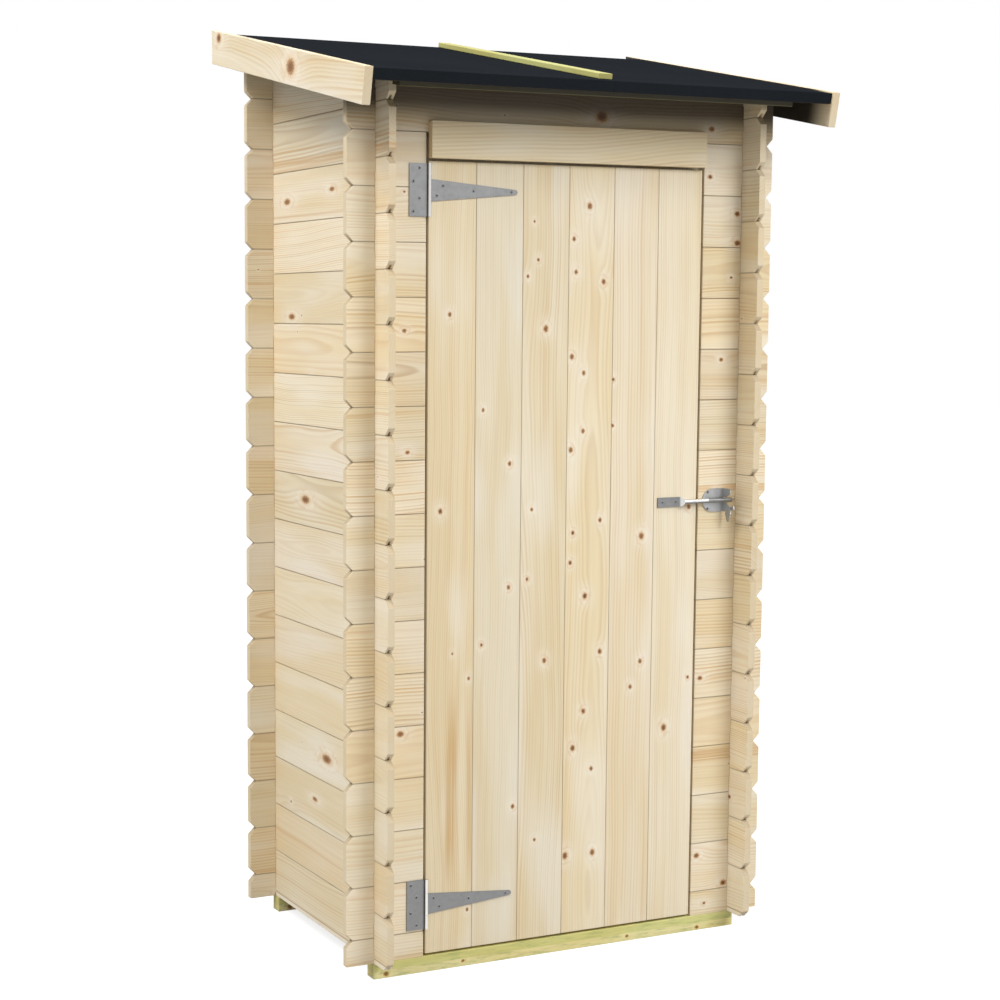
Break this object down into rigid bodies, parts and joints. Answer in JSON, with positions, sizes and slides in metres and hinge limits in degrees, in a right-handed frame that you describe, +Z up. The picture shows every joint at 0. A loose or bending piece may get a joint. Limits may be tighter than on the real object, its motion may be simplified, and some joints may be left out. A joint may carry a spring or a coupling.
{
  "type": "pent tool shed",
  "caption": "Narrow log-built tool shed with a single-pitch felted roof that falls to the front, a boarded door on T hinges, a gate latch and two ground bearers.",
  "frame": {"origin": "on the ground, in the middle of the roof's plan", "axes": "+Z up, the door faces -Y, +X to the right of a person who faces the door"},
  "size_m": [1.1266, 0.8236, 2.0439],
  "materials": {
    "pine_log": "planed, untreated pine",
    "pine_board": "planed, untreated pine",
    "treated_pine": "green pressure-treated pine",
    "roof_felt": "mineral roofing felt",
    "zinc_steel": "zinc plated"
  },
  "bodies": {
    "shed": {"floor_boards": "pine_board", "front_wall_logs_left": "pine_log", "front_wall_logs_right": "pine_log", "front_wall_top_log": "pine_log", "back_wall_logs": "pine_log", "left_wall_logs": "pine_log", "right_wall_logs": "pine_log", "left_door_post": "pine_board", "right_door_post": "pine_board", "door_header": "pine_board", "roof_panel_left": "pine_board", "roof_panel_right": "pine_board", "left_barge_board": "pine_board", "right_barge_board": "pine_board", "front_bearer": "treated_pine", "back_bearer": "treated_pine", "roof_cover_strip": "treated_pine", "eaves_batten": "treated_pine", "roof_felt_left": "roof_felt", "roof_felt_right": "roof_felt", "upper_hinge_leaf": "zinc_steel", "lower_hinge_leaf": "zinc_steel", "latch_body": "zinc_steel"},
    "door": {"door_board_1": "pine_board", "door_board_2": "pine_board", "door_board_3": "pine_board", "door_board_4": "pine_board", "door_board_5": "pine_board", "door_board_6": "pine_board", "upper_door_ledge": "pine_board", "lower_door_ledge": "pine_board", "door_brace": "pine_board", "upper_hinge_strap": "zinc_steel", "lower_hinge_strap": "zinc_steel", "latch_bar": "zinc_steel"},
    "latch_lever": {"latch_lever": "zinc_steel"}
  },
  "joints": [
    {"name": "door_swing", "type": "hinge", "parent": "shed", "child": "door", "pos_m": [-0.336, -0.23848, 0.1503], "axis": [0, 0, -1], "range_deg": [0, 140]},
    {"name": "latch_lift", "type": "hinge", "parent": "shed", "child": "latch_lever", "pos_m": [0.40865, -0.25318, 0.9663], "axis": [-1, 0, 0], "range_deg": [0, 70]}
  ]
}
